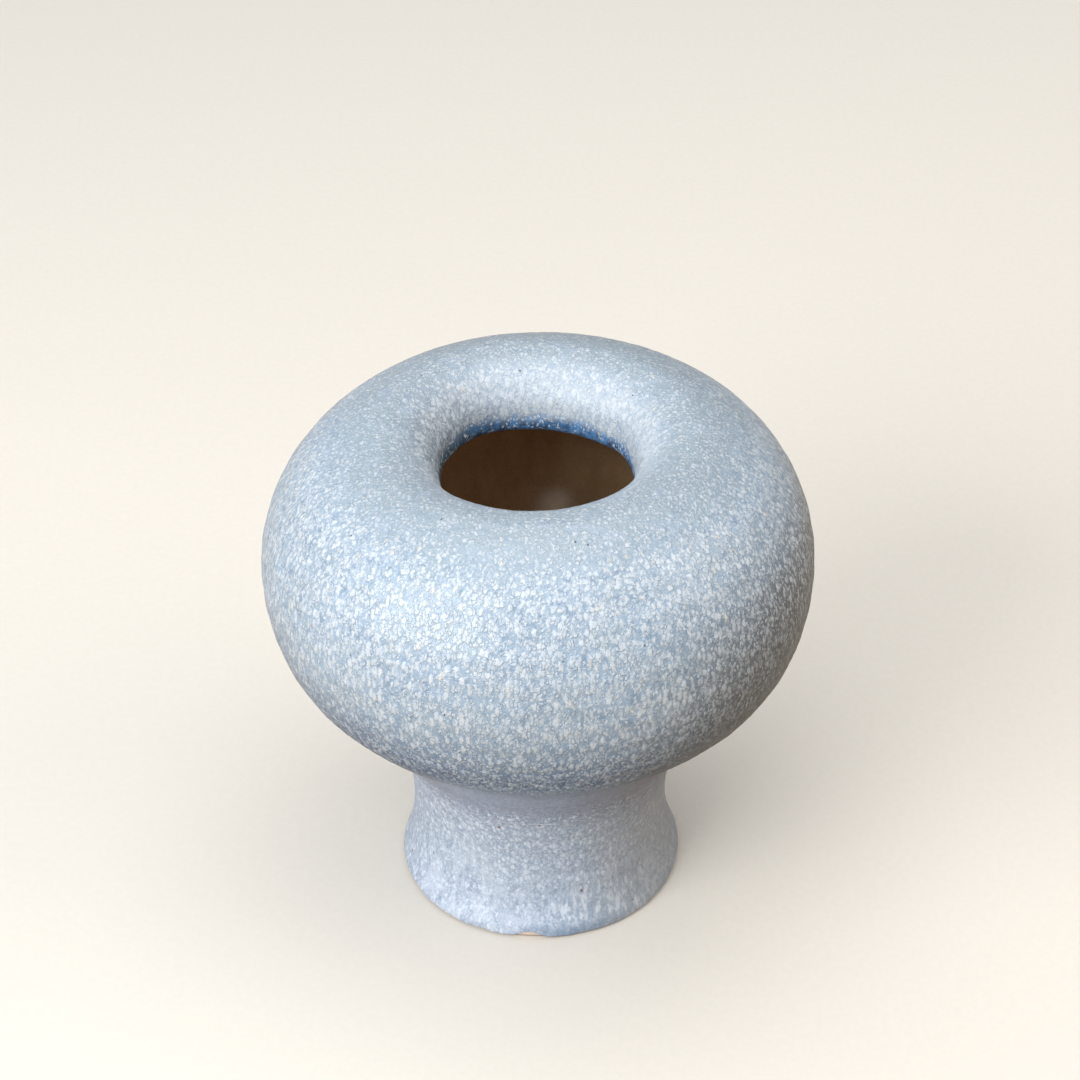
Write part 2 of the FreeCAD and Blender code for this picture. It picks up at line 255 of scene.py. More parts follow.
def thrown(p):
    """Points of the exact form moved to the slightly uneven form that all pieces share."""
    x, y, z = p[:, 0], p[:, 1], p[:, 2]
    r = np.hypot(x, y)
    angle = np.arctan2(y, x)
    upper = ease(z, *UPPER_HEIGHTS)
    mouth = ease(z, *MOUTH_HEIGHTS) * ease(r, *MOUTH_RADII)
    front = ease(z, BASE_TALL, 0.0) * ease(np.sin(angle), *BASE_FRONT)
    scale = moved_out(r, angle, z, mouth) / np.maximum(r, MM)
    moved = p.copy()
    moved[:, 0] += x * scale + SIDE_SHIFT * (upper + mouth)
    moved[:, 1] += y * scale - BASE_PULL * front
    moved[:, 2] += UPPER_TILT * x * upper + mouth * (MOUTH_TILT * x - MOUTH_DROP)
    for direction, width, drop in MOUTH_DIPS:
        moved[:, 2] -= drop * MM * mouth * facing(angle, direction, width)
    moved[:, 2] += MOUTH_RING * mouth * np.sin(2.0 * math.pi * r / MOUTH_RING_PITCH)
    moved[:, 2] = np.maximum(moved[:, 2], 0.0)
    return moved


# ---------------------------------------------------------------- turned pieces

RELIEF_FADE = 2.0 * MM
FAR_OFF = 1.0


def normals_of(rows):
    """Outward normals of an anticlockwise outline, and its length so far at each row."""
    ahead = np.gradient(rows, axis=0)
    ahead /= np.maximum(np.linalg.norm(ahead, axis=1), 1e-9)[:, None]
    normals = np.stack([ahead[:, 1], -ahead[:, 0]], axis=1)
    length = np.linalg.norm(np.diff(rows, axis=0), axis=1)
    return normals, np.concatenate([[0.0], np.cumsum(length)])


class Turning:
    """Rows of one piece's outline with the values that its looks need at each row.

    The relief is full on the shown run and fades out at both of its ends. Rows off that run
    have no relief and count as far from its start and its end.
    """

    def __init__(self, runs, shown):
        self.rows = np.vstack([run[:-1] for run in runs])
        self.lean = np.zeros(len(self.rows))
        self.relief = np.zeros(len(self.rows))
        self.from_start = np.full(len(self.rows), FAR_OFF)
        self.to_end = np.full(len(self.rows), FAR_OFF)
        self.normals = np.zeros_like(self.rows)
        first = 0
        for k, run in enumerate(runs):
            span = slice(first, first + len(run) - 1)
            normals, length = normals_of(run)
            self.lean[span] = normals[:-1, 1]
            self.normals[span] = normals[:-1]
            if k == shown:
                self.from_start[span] = length[:-1]
                self.to_end[span] = length[-1] - length[:-1]
                ends = np.minimum(self.from_start[span], self.to_end[span])
                self.relief[span] = ease(ends, 0.0, RELIEF_FADE)
            first += len(run) - 1


def ring_faces(rings, turns):
    """Faces between neighbouring rings of a closed outline; a ring of one vertex is a pole."""
    faces = []
    for k, ring in enumerate(rings):
        after = rings[(k + 1) % len(rings)]
        for j in range(turns):
            i = (j + 1) % turns
            if len(ring) == 1 and len(after) == 1:
                break
            if len(ring) == 1:
                faces.append((ring[0], after[j], after[i])[::-1])
            elif len(after) == 1:
                faces.append((ring[j], ring[i], after[0]))
            else:
                faces.append((ring[j], ring[i], after[i], after[j]))
    return faces


def turned(name, turning, turns, relief=None):
    """A mesh turned about the axis from a Turning, with relief(points, turning, row) added."""
    angles = np.linspace(0.0, 2.0 * math.pi, turns, endpoint=False)
    points, row_of, rings = [], [], []
    for k, (r, z) in enumerate(turning.rows):
        at = angles[:1] if r < POLE_RADIUS else angles
        first = len(row_of)
        rings.append(list(range(first, first + len(at))))
        row_of.extend([k] * len(at))
        points.append(np.stack([r * np.cos(at), r * np.sin(at), np.full(len(at), z)], axis=1))
    points = np.vstack(points)
    row_of = np.array(row_of)
    if relief is not None:
        points = relief(points, turning, row_of)
    points = thrown(points)
    mesh = bpy.data.meshes.new(name)
    mesh.from_pydata(points.tolist(), [], ring_faces(rings, turns))
    mesh.validate()
    for polygon in mesh.polygons:
        polygon.use_smooth = True
    for trait, values in (
        ("lean", turning.lean),
        ("from_start", turning.from_start / MM),
        ("to_end", turning.to_end / MM),
    ):
        layer = mesh.attributes.new(trait, "FLOAT", "POINT")
        layer.data.foreach_set("value", values[row_of].astype(np.float32))
    made = bpy.data.objects.new(name, mesh)
    bpy.context.scene.collection.objects.link(made)
    return made


def pushed(points, turning, row_of, height):
    """Points moved along the outline's outward normal by height, in metres."""
    r = np.maximum(np.hypot(points[:, 0], points[:, 1]), MM)
    out = turning.normals[row_of]
    moved = points.copy()
    moved[:, 0] += points[:, 0] / r * out[:, 0] * height
    moved[:, 1] += points[:, 1] / r * out[:, 0] * height
    moved[:, 2] += out[:, 1] * height
    return moved


# Noise of one seed lies this far from the noise of the seed before it.
SEED_SHIFT = (7.3, 2.9, 5.1)


def rippled(points, size, stretch, seed):
    """Smooth noise of about one feature per size, drawn out along Z, from -1 to 1."""
    scale = np.array([1.0, 1.0, 1.0 / stretch]) / size
    shift = Vector(SEED_SHIFT) * seed
    return np.array([noise.noise(Vector(p) + shift) for p in points * scale])


# Pebbles of the fired glaze: height and size in mm, stretch down the wall, and seed.
PEBBLES = ((0.13, 3.0, 1.6, 1), (0.07, 1.9, 1.4, 2), (0.12, 11.0, 1.2, 3))

# Ridges where the glaze ran and pooled: height, distance from the edge and width, in metres.
THROAT_POOL = (0.34 * MM, 5.5 * MM, 3.0 * MM)
SEAM_POOL = (0.10 * MM, 3.0 * MM, 2.0 * MM)
EDGE_POOL = (0.20 * MM, 2.6 * MM, 1.8 * MM)

# The glaze that closes the crease between the bulb's coat and the foot's coat.
SEAM_FILL = (0.20 * MM, 0.75 * MM, 0.40 * MM)

# Unevenness of those ridges and runs: size in metres, stretch down the wall, and seed.
POOL_RIPPLE = (9.0 * MM, 1.0, 4)
RUN_RIPPLE = (3.4 * MM, 9.0, 5)
EDGE_RIPPLE = (8.0 * MM, 1.0, 6)
POOL_UNEVEN = 0.5
EDGE_UNEVEN = 0.6

# The foot's pebbles against the bulb's, and the runs down the foot: height, and where they
# set in below the seam.
FOOT_PEEL = 0.6
FOOT_RUN = 0.12 * MM
FOOT_RUN_ZONE = (14.0 * MM, 34.0 * MM)


def orange_peel(points, turning, row_of):
    """Height of the fired glaze's pebbly surface, in metres."""
    height = np.zeros(len(points))
    for tall, size, stretch, seed in PEBBLES:
        height += tall * MM * rippled(points, size * MM, stretch, seed)
    return height * turning.relief[row_of]


def ridge(distance, shape):
    height, centre, width = shape
    return height * bell(distance, centre, width)


def bulb_relief(points, turning, row_of):
    """Orange peel, and glaze that ran down and pooled at the throat and above the seam."""
    seam = turning.from_start[row_of]
    throat = turning.to_end[row_of]
    uneven = 1.0 + POOL_UNEVEN * rippled(points, *POOL_RIPPLE)
    pools = ridge(throat, THROAT_POOL) + ridge(seam, SEAM_POOL)
    height = orange_peel(points, turning, row_of)
    height += pools * uneven * turning.relief[row_of] + ridge(seam, SEAM_FILL)
    return pushed(points, turning, row_of, height)


def foot_relief(points, turning, row_of):
    """Softer orange peel, runs down the foot, a thick lower edge and an uneven glaze line."""
    edge = turning.from_start[row_of]
    seam = turning.to_end[row_of]
    runs = FOOT_RUN * rippled(points, *RUN_RIPPLE) * ease(seam, *FOOT_RUN_ZONE)
    uneven = 1.0 + EDGE_UNEVEN * rippled(points, *EDGE_RIPPLE)
    height = FOOT_PEEL * orange_peel(points, turning, row_of)
    height += (runs + ridge(edge, EDGE_POOL) * uneven) * turning.relief[row_of]
    height += ridge(seam, SEAM_FILL)
    moved = pushed(points, turning, row_of, height)
    return lifted_edge(moved, points)


# The lower edge of the foot's glaze wanders, and leaves the clay bare at one spot in front,
# whose direction and width are in degrees. The last pair are the heights between which the
# slope of the foot is taken.
BARE_SPOT = (-95.0, 5.0)
BARE_LIFT = 2.1 * MM
MEAN_LIFT = 0.1 * MM
WANDER_LIFT = 0.5 * MM
EDGE_WANDERS = ((5.5, 1.0), (17.0, 0.5))
GLAZE_LINE_ZONE = (9.0 * MM, 1.5 * MM)
LOWEST_GLAZE = 0.15 * MM
FOOT_FLARE = (3.0 * MM, 14.0 * MM)


def foot_slope():
    """Change of the foot's radius with height, from its outline near the table."""
    rows = half_section("foot_glaze")
    flare = rows[(rows[:, 1] > FOOT_FLARE[0]) & (rows[:, 1] < FOOT_FLARE[1])]
    slope, _ = np.polyfit(flare[:, 1], flare[:, 0], 1)
    return slope


def lifted_edge(moved, points):
    """The glaze line: low points slide up the foot by an amount that wanders round the ring."""
    angle = np.arctan2(points[:, 1], points[:, 0])
    ring = np.stack([np.cos(angle), np.sin(angle), np.zeros(len(angle))], axis=1)
    wander = sum(
        share * np.array([noise.noise(Vector(p) * waves) for p in ring])
        for waves, share in EDGE_WANDERS
    )
    lift = WANDER_LIFT * wander + MEAN_LIFT + BARE_LIFT * facing(angle, *BARE_SPOT)
    lift *= ease(points[:, 2], *GLAZE_LINE_ZONE)
    slid = np.maximum(lift, LOWEST_GLAZE - moved[:, 2])
    inward = foot_slope() * slid / np.hypot(points[:, 0], points[:, 1])
    moved[:, 0] += points[:, 0] * inward
    moved[:, 1] += points[:, 1] * inward
    moved[:, 2] += slid
    return moved


# ---------------------------------------------------------------- node materials

# How much the specks of one coat differ in reach, in cell sizes.
SPECK_SPREAD = 0.22


class Recipe:
    """One material's node tree, in millimetres; its methods hand on the sockets they make."""

    def __init__(self, name):
        self.material = bpy.data.materials.new(name)
        self.material.use_nodes = True
        self.tree = self.material.node_tree
        self.shader = self.tree.nodes["Principled BSDF"]
        place = self.node("ShaderNodeTexCoord").outputs["Object"]
        self.place = self.scaled(place, (1.0 / MM, 1.0 / MM, 1.0 / MM))

    def node(self, kind, **settings):
        made = self.tree.nodes.new(kind)
        for key, value in settings.items():
            setattr(made, key, value)
        return made

    def feed(self, socket, value):
        if isinstance(value, bpy.types.NodeSocket):
            self.tree.links.new(value, socket)
        elif socket.type == "VECTOR":
            socket.default_value = value[:3]
        else:
            socket.default_value = value

    def maths(self, operation, a, b=0.0):
        made = self.node("ShaderNodeMath", operation=operation)
        self.feed(made.inputs[0], a)
        self.feed(made.inputs[1], b)
        return made.outputs[0]

    def plus(self, a, b):
        return self.maths("ADD", a, b)

    def times(self, a, b):
        return self.maths("MULTIPLY", a, b)

    def most(self, a, b):
        return self.maths("MAXIMUM", a, b)

    def faded(self, mask, start, end):
        """A smooth step from start, where the mask is 0, to end, where it is 1."""
        return self.step(mask, 0.0, 1.0, start, end)

    def stacked(self, heights, **marks):
        """Sum of the marks, each times its own height in millimetres."""
        height = 0.0
        for name, mark in marks.items():
            height = self.plus(height, self.times(mark, heights[name]))
        return height

    def step(self, value, low, high, start=0.0, end=1.0):
        """A smooth step from start, where the value is low, to end, where it is high."""
        made = self.node("ShaderNodeMapRange", interpolation_type="SMOOTHSTEP")
        for key, number in (("Value", value), ("From Min", low), ("From Max", high)):
            self.feed(made.inputs[key], number)
        self.feed(made.inputs["To Min"], start)
        self.feed(made.inputs["To Max"], end)
        return made.outputs["Result"]

    def blend(self, factor, a, b):
        made = self.node("ShaderNodeMix", data_type="RGBA")
        self.feed(made.inputs[0], factor)
        self.feed(made.inputs[6], a)
        self.feed(made.inputs[7], b)
        return made.outputs[2]

    def shaded(self, colour, factor):
        """A colour times one number."""
        made = self.node("ShaderNodeVectorMath", operation="SCALE")
        self.feed(made.inputs[0], colour)
        self.feed(made.inputs["Scale"], factor)
        return made.outputs[0]

    def scaled(self, vector, factors):
        """A vector or colour times one fixed number per component."""
        made = self.node("ShaderNodeVectorMath", operation="MULTIPLY")
        self.feed(made.inputs[0], vector)
        self.feed(made.inputs[1], factors)
        return made.outputs[0]

    def trait(self, name):
        made = self.node("ShaderNodeAttribute", attribute_name=name)
        return made.outputs["Fac"]

    def swayed(self, distance, grain, sway):
        """A distance in mm shifted by up to half a sway either way by a grain from 0 to 1."""
        return self.plus(distance, self.times(self.plus(grain, -0.5), sway))

    def grain(self, size, stretch=1.0, detail=2.0):
        """Noise of about one feature per size in mm, drawn out along Z, from 0 to 1."""
        made = self.node("ShaderNodeTexNoise", noise_dimensions="3D")
        self.feed(made.inputs["Vector"], self.scaled(self.place, (1.0, 1.0, 1.0 / stretch)))
        made.inputs["Scale"].default_value = 1.0 / size
        made.inputs["Detail"].default_value = detail
        return made.outputs["Fac"]

    def wander(self, size, reach):
        """Positions nudged by noise, so that specks lose their regular shape."""
        made = self.node("ShaderNodeTexNoise", noise_dimensions="3D")
        self.feed(made.inputs["Vector"], self.place)
        made.inputs["Scale"].default_value = 1.0 / size
        made.inputs["Detail"].default_value = 1.0
        centred = self.node("ShaderNodeVectorMath", operation="MULTIPLY_ADD")
        self.feed(centred.inputs[0], made.outputs["Color"])
        centred.inputs[1].default_value = (reach, reach, reach)
        self.feed(centred.inputs[2], self.place)
        return centred.outputs[0]

    def cells(self, vector, size, stretch):
        """Distance to the nearest cell centre in cell sizes, and the cell's random colour."""
        made = self.node("ShaderNodeTexVoronoi", voronoi_dimensions="3D", feature="F1")
        flat = 1.0 / size
        self.feed(made.inputs["Vector"], self.scaled(vector, (flat, flat, flat / stretch)))
        made.inputs["Scale"].default_value = 1.0
        parts = self.node("ShaderNodeSeparateColor")
        self.feed(parts.inputs[0], made.outputs["Color"])
        return made.outputs["Distance"], parts.outputs[0], parts.outputs[1]

    def specks(self, vector, cell, reach, soft):
        """Mask of specks that vary in size, and two numbers that are constant in each."""
        distance, first, second = self.cells(vector, *cell)
        limit = self.swayed(reach, first, SPECK_SPREAD)
        gap = self.maths("SUBTRACT", distance, limit)
        return self.step(gap, -soft, soft, 1.0, 0.0), first, second

    def near(self, centre, size):
        """1 at a place given in millimetres, falling to 0 at the given distance from it."""
        made = self.node("ShaderNodeVectorMath", operation="DISTANCE")
        self.feed(made.inputs[0], self.place)
        made.inputs[1].default_value = centre
        return self.step(made.outputs["Value"], 0.0, size, 1.0, 0.0)

    def toward(self, centre, direction, low, high):
        """0 to 1 with the way in millimetres from a centre along a direction."""
        away = self.node("ShaderNodeVectorMath", operation="SUBTRACT")
        self.feed(away.inputs[0], self.place)
        away.inputs[1].default_value = centre
        made = self.node("ShaderNodeVectorMath", operation="DOT_PRODUCT")
        self.feed(made.inputs[0], away.outputs[0])
        made.inputs[1].default_value = Vector(direction).normalized()
        return self.step(made.outputs["Value"], low, high)

    def finish(self, colour, roughness, height, specular):
        """Joins colour, roughness and a height in millimetres to the shader."""
        bump = self.node("ShaderNodeBump")
        bump.inputs["Distance"].default_value = MM
        self.feed(bump.inputs["Height"], height)
        self.feed(self.shader.inputs["Base Color"], colour)
        self.feed(self.shader.inputs["Roughness"], roughness)
        self.feed(self.shader.inputs["Normal"], bump.outputs["Normal"])
        self.shader.inputs["Specular IOR Level"].default_value = specular
        return self.material


CREST_BLUE = (0.285, 0.350, 0.405, 1.0)
BELLY_BLUE = (0.305, 0.400, 0.510, 1.0)
VEIN_BLUE = (0.165, 0.240, 0.350, 1.0)
# Deeper blue on the underside: partly thicker glaze, partly painted shade.
UNDER_BLUE = (0.048, 0.100, 0.208, 1.0)
# Painted shade: the gaps darken to this brown on the far, right side of the bulb.
FAR_SHADE_BROWN = (0.085, 0.082, 0.082, 1.0)
NECK_GREY = (0.285, 0.325, 0.435, 1.0)
INNER_PALE = (0.430, 0.492, 0.565, 1.0)
# Painted shade for the throat's left wall, and for the blue pool on it.
THROAT_SHADE_GREY = (0.150, 0.175, 0.195, 1.0)
POOL_BLUE = (0.078, 0.205, 0.410, 1.0)
POOL_DARK = (0.025, 0.075, 0.165, 1.0)
POOL_SHADE_TEAL = (0.040, 0.062, 0.072, 1.0)
SPECK_WHITE = (0.590, 0.632, 0.675, 1.0)
SPECK_DIM = (0.370, 0.445, 0.550, 1.0)
SPECK_CREAM = (0.630, 0.620, 0.580, 1.0)
PINHOLE_SHADE = (0.030, 0.030, 0.035, 1.0)
FOOT_BLUE = (0.320, 0.395, 0.510, 1.0)
FOOT_PALE = (0.645, 0.710, 0.805, 1.0)
CLAY_PINK = (0.740, 0.615, 0.545, 1.0)
CLAY_BUFF = (0.600, 0.460, 0.340, 1.0)
IRON_BROWN = (0.160, 0.080, 0.045, 1.0)
LINER_BROWN = (0.570, 0.360, 0.175, 1.0)
LINER_DARK = (0.490, 0.300, 0.140, 1.0)
# Painted highlight inside the liner.
LINER_HIGHLIGHT = (1.000, 0.760, 0.500, 1.0)
# Painted shade: warm greys for the vase's right side, as if lit by the table.
WARM_SHADE_GREY = (0.300, 0.270, 0.230, 1.0)
WARM_SHADE_DARK = (0.165, 0.145, 0.140, 1.0)
# Painted shade on the bulb's underside above the neck.
UNDER_WARM_SHADE = (0.085, 0.078, 0.082, 1.0)


# Grains: size in mm, stretch down the wall and, for a few, detail. Cells: size and stretch.
MOTTLE = (14.0,)
CLOUD = (7.0, 1.5)
VEIN = (3.2, 1.6, 3.0)
SMOOTH = (1.5, 0.8)
DUST = (0.55,)
FOOT_MOTTLE = (11.0,)
FOOT_VEIN = (2.4, 1.8, 3.0)
PALE_STREAK = (2.2, 6.0)
BLUE_STREAK = (2.6, 5.0)
WASH_AND_HIGHLIGHT_GRAIN = (5.0, 5.0)
LINER_FLOW = (9.0, 3.0, 3.0)
LINER_DUST = (0.8,)
CLAY_PATCH = (9.0,)
CLAY_GRIT = (0.45, 1.0, 3.0)
THROWING_LINES = (1.4, 0.12)
PAPER_FIBRE = (3.0, 1.0, 3.0)
DASH_CELL = (1.75, 2.3)
FINE_CELL = (1.05, 1.5)
FOOT_DASH_CELL = (1.6, 1.6)
FOOT_FINE_CELL = (0.95, 1.4)

# Most of a grain's values lie within these ranges.
GRAIN_RANGE = (0.3, 0.7)
DUST_RANGE = (0.25, 0.75)

# Slopes of the wall, as the upward part of its outward normal: crest, underside and far side.
CREST_SLOPE = (0.72, 0.97)
UNDER_SLOPE = (0.15, -0.45)
FAR_SHADE_SLOPE = (0.80, 0.25)

# Both coats fade across the seam by this one grain and sway, so the fade is continuous. The
# fades are in mm above the seam, and the reach is that of the specks below them.
MEETING_GRAIN = (12.0,)
MEETING_SWAY = 7.0
JOINT_FADE = (-10.0, 12.0)
SPECK_FADE = (-4.0, 15.0)
MEETING_REACH = 0.42

# Zones of the bulb, in mm along its wall: from the coat's end in the throat for the first
# two, and from the seam for the others.
INNER_LINE = (36.0, 22.0)
POOL_LINE = (12.3, 7.0)
NECK_LINE = (47.0, 20.0)
WARM_SHADE_LINE = (64.0, 46.0)

# Sides on which the coats get painted shade, darker and warmer as if lit by the table: a
# direction, and where the change starts and ends along it in mm, from the belly's centre for the
# first two and the foot's for the last.
BELLY_CENTRE = (0.0, 0.0, BELLY / MM)
FOOT_CENTRE = (0.0, 0.0, 0.0)
FAR_SHADE_SIDE = ((0.93, -0.05, -0.36), 25.0, 88.0)
LOW_RIGHT_SHADE_SIDE = ((0.74, -0.30, -0.60), 45.0, 100.0)
RIGHT_SHADE_SIDE = ((1.0, -0.1, 0.0), 8.0, 48.0)
RIGHT_SHADE_AMOUNT = 0.52
LOW_RIGHT_SHADE_TINT = (0.505, 0.485, 0.470)

# Spots, each with its place and its reach in mm: painted shade on the throat's left wall, the
# streaks, the pale wash with its painted highlight and the blue pool of the foot, and inside the
# wet spot and the painted highlight.
THROAT_SHADE_SPOT = ((-35.0, 10.0, 172.0), 46.0)
STREAK_SPOT = ((26.0, -46.0, 12.0), 38.0)
WASH_AND_HIGHLIGHT_SPOT = ((-30.0, -40.0, 10.0), 42.0)
BLUE_POOL_SPOT = ((14.0, -54.0, 2.0), 32.0)
WET_SPOT = ((7.0, 79.0, 103.0), 18.0)
LINER_HIGHLIGHT_SPOT = ((7.0, 79.0, 103.5), 10.0)

# The foot's streaks and its blue pool set in downwards, in mm up from its lower edge.
STREAK_LINE = (33.0, 12.0)
FOOT_POOL_LINE = (10.5, 6.5)

# Painted shade on the liner, lighter towards -X and darker towards +X, where the window light
# falls inside: the change along X in mm.
LINER_SHADE_CHANGE = ((1.0, 0.0, 0.0), -25.0, 50.0)

# Heights of the finest marks, in mm, for shading only.
BULB_MARKS = {"white": 0.26, "vein": 0.24, "dust": 0.04, "hole": -0.25}
FOOT_MARKS = {"white": 0.08, "vein": 0.08, "dust": 0.02}
LINER_MARKS = {"flow": 0.20, "dust": 0.02}
CLAY_MARKS = {"grit": 0.10, "lines": 0.08}
STILL_SHARE = 0.3
INNER_SHARE = 0.6
ODDS_EDGE = 0.01


def dots(recipe, spacing, stretch, near, far, strength, odds_line):
    """Mask of small round dots in the cells whose odds are above a line.

    Near and far are the inner and outer edge of a dot in cell sizes. Without a strength, each
    dot has its own.
    """
    distance, odds, weight = recipe.cells(recipe.place, spacing, stretch)
    if strength is None:
        strength = recipe.faded(weight, 0.45, 0.95)
    dot = recipe.step(distance, near, far, strength, 0.0)
    return recipe.times(dot, recipe.step(odds, odds_line, odds_line + ODDS_EDGE))


def faint_grain(recipe, amount):
    """The smooth glaze on the neck is still a little uneven: a factor either side of one."""
    grain = recipe.grain(*SMOOTH)
    low = recipe.faded(amount, 1.0, 0.84)
    high = recipe.faded(amount, 1.0, 1.18)
    return recipe.step(grain, 0.34, 0.66, low, high)


def over_seam(recipe, above):
    """Height above the seam in mm, swayed by the grain that both coats share."""
    return recipe.swayed(above, recipe.grain(*MEETING_GRAIN), MEETING_SWAY)


def bulb_zones(recipe):
    """Grains of the bulb's coat, and masks of its zones from crest to neck."""
    lean = recipe.trait("lean")
    throat = recipe.trait("to_end")
    seam = recipe.trait("from_start")
    zone = SimpleNamespace()
    zone.mottle = recipe.grain(*MOTTLE)
    zone.cloud = recipe.grain(*CLOUD)
    zone.vein = recipe.grain(*VEIN)
    zone.flat = recipe.step(lean, *CREST_SLOPE)
    zone.under = recipe.step(recipe.plus(lean, recipe.times(zone.mottle, 0.2)), *UNDER_SLOPE)
    zone.inner = recipe.step(throat, *INNER_LINE)
    pool_line = recipe.swayed(recipe.swayed(throat, zone.mottle, 3.0), zone.vein, 5.0)
    zone.pooled = recipe.step(pool_line, *POOL_LINE)
    zone.neck_line = recipe.swayed(seam, zone.cloud, 12.0)
    zone.neck = recipe.step(zone.neck_line, *NECK_LINE)
    zone.rise = over_seam(recipe, seam)
    # Painted shade on the left wall of the throat, which faces away from the window.
    zone.left_wall = recipe.near(*THROAT_SHADE_SPOT)
    # Painted shade on the far, right side of the bulb, away from the window.
    far = recipe.toward(BELLY_CENTRE, *FAR_SHADE_SIDE)
    far = recipe.times(far, recipe.faded(zone.neck, 0.85, 0.0))
    zone.far = recipe.times(far, recipe.step(lean, *FAR_SHADE_SLOPE))
    # There the coat is painted a darker, greyer shade.
    shade = recipe.times(zone.left_wall, zone.inner)
    zone.wall = recipe.times(shade, recipe.faded(zone.pooled, 0.75, 0.0))
    return zone


def bulb_base(recipe, zone):
    """Colour of the bulb's coat between its specks."""
    base = recipe.blend(zone.flat, BELLY_BLUE, CREST_BLUE)
    base = recipe.blend(recipe.step(zone.mottle, 0.35, 0.65, 0.0, 0.45), base, CREST_BLUE)
    base = recipe.blend(recipe.step(zone.cloud, 0.50, 0.72, 0.0, 0.45), base, SPECK_DIM)
    # The underside turns deeper blue, partly as thicker glaze and partly as painted shade.
    base = recipe.blend(zone.under, base, UNDER_BLUE)
    # Painted shade, dark and warm, on the bulb's underside just above the neck.
    base = recipe.blend(recipe.step(zone.neck_line, *WARM_SHADE_LINE, 0.0, 0.6), base, UNDER_WARM_SHADE)
    base = recipe.blend(recipe.times(zone.inner, 0.8), base, INNER_PALE)
    veins = recipe.times(recipe.step(zone.vein, 0.48, 0.68), recipe.faded(zone.flat, 0.6, 0.25))
    # Veins show more on the throat's left wall, as painted shade.
    inner_veins = recipe.plus(0.25, recipe.times(zone.left_wall, 0.9))
    veins = recipe.times(veins, recipe.faded(zone.inner, 1.0, inner_veins))
    base = recipe.blend(veins, base, VEIN_BLUE)
    pool = recipe.blend(recipe.step(zone.vein, 0.42, 0.62), POOL_BLUE, POOL_DARK)
    base = recipe.blend(zone.pooled, base, pool)
    # Painted shade: the blue pool turns dark teal on the left wall.
    base = recipe.blend(recipe.times(zone.pooled, zone.left_wall), base, POOL_SHADE_TEAL)
    neck = recipe.blend(recipe.step(zone.rise, *JOINT_FADE), FOOT_BLUE, NECK_GREY)
    base = recipe.blend(zone.neck, base, neck)
    # Painted shade: brown gaps on the far side.
    base = recipe.blend(zone.far, base, FAR_SHADE_BROWN)
    return recipe.blend(zone.wall, base, THROAT_SHADE_GREY)


def bulb_specks(recipe, zone):
    """Mask of the pale dashes and fine specks together, and their colour."""
    wander = recipe.wander(1.3, 1.7)
    neck_reach = recipe.step(zone.rise, *SPECK_FADE, MEETING_REACH, 0.0)
    reach = recipe.faded(zone.flat, 0.43, 0.28)
    # On the underside, the far side and the throat's left wall the specks shrink too, in part as
    # painted shade.
    for mask, change in (
        (zone.inner, 0.08),
        (zone.pooled, -0.60),
        (zone.wall, -0.14),
        (zone.under, -0.07),
        (zone.far, -0.07),
    ):
        reach = recipe.plus(reach, recipe.times(mask, change))
    reach = recipe.faded(zone.neck, reach, neck_reach)
    dashes, chance, kind = recipe.specks(wander, DASH_CELL, reach, 0.24)
    dashes = recipe.times(dashes, recipe.faded(chance, 0.6, 1.0))
    reach = recipe.plus(recipe.faded(zone.flat, 0.42, 0.34), recipe.times(zone.pooled, -0.11))
    reach = recipe.faded(zone.neck, reach, neck_reach)
    fines, chance, _ = recipe.specks(wander, FINE_CELL, reach, 0.20)
    fines = recipe.times(fines, recipe.faded(chance, 0.35, 0.95))
    white = recipe.times(recipe.most(dashes, fines), recipe.faded(zone.flat, 0.92, 0.75))
    colour = recipe.blend(recipe.step(kind, 0.965, 0.970), SPECK_WHITE, SPECK_CREAM)
    # Specks dim on the underside, partly deeper glaze and partly painted shade.
    colour = recipe.blend(recipe.times(zone.under, 0.6), colour, SPECK_DIM)
    return white, recipe.blend(zone.neck, colour, FOOT_PALE)


def bulb_shades(recipe, zone, colour, dust):
    """The coat's colour with dust and faint grain, and painted shade on the neck's right, the
    lower right and the inner roll.
    """
    # Painted shade, dark and warm, on the right side of the neck.
    side = recipe.times(recipe.toward(FOOT_CENTRE, *RIGHT_SHADE_SIDE), zone.neck)
    colour = recipe.blend(recipe.times(side, RIGHT_SHADE_AMOUNT), colour, WARM_SHADE_DARK)
    colour = recipe.shaded(colour, recipe.step(dust, *DUST_RANGE, 0.86, 1.12))
    colour = recipe.shaded(colour, faint_grain(recipe, zone.neck))
    # Painted shade, a little warm, darkens the lower right of the bulb.
    low_right_shade = recipe.toward(BELLY_CENTRE, *LOW_RIGHT_SHADE_SIDE)
    low_right_shade = recipe.times(low_right_shade, recipe.faded(zone.neck, 1.0, 0.0))
    low_right_shade = recipe.faded(low_right_shade, 0.0, 1.0)
    colour = recipe.blend(low_right_shade, colour, recipe.scaled(colour, LOW_RIGHT_SHADE_TINT))
    # Painted shade: the inner roll is darkened a little to tone down the window's reflection
    # there.
    roll = recipe.times(zone.inner, recipe.faded(zone.pooled, 1.0, 0.0))
    return recipe.shaded(colour, recipe.faded(roll, 1.0, 0.93))


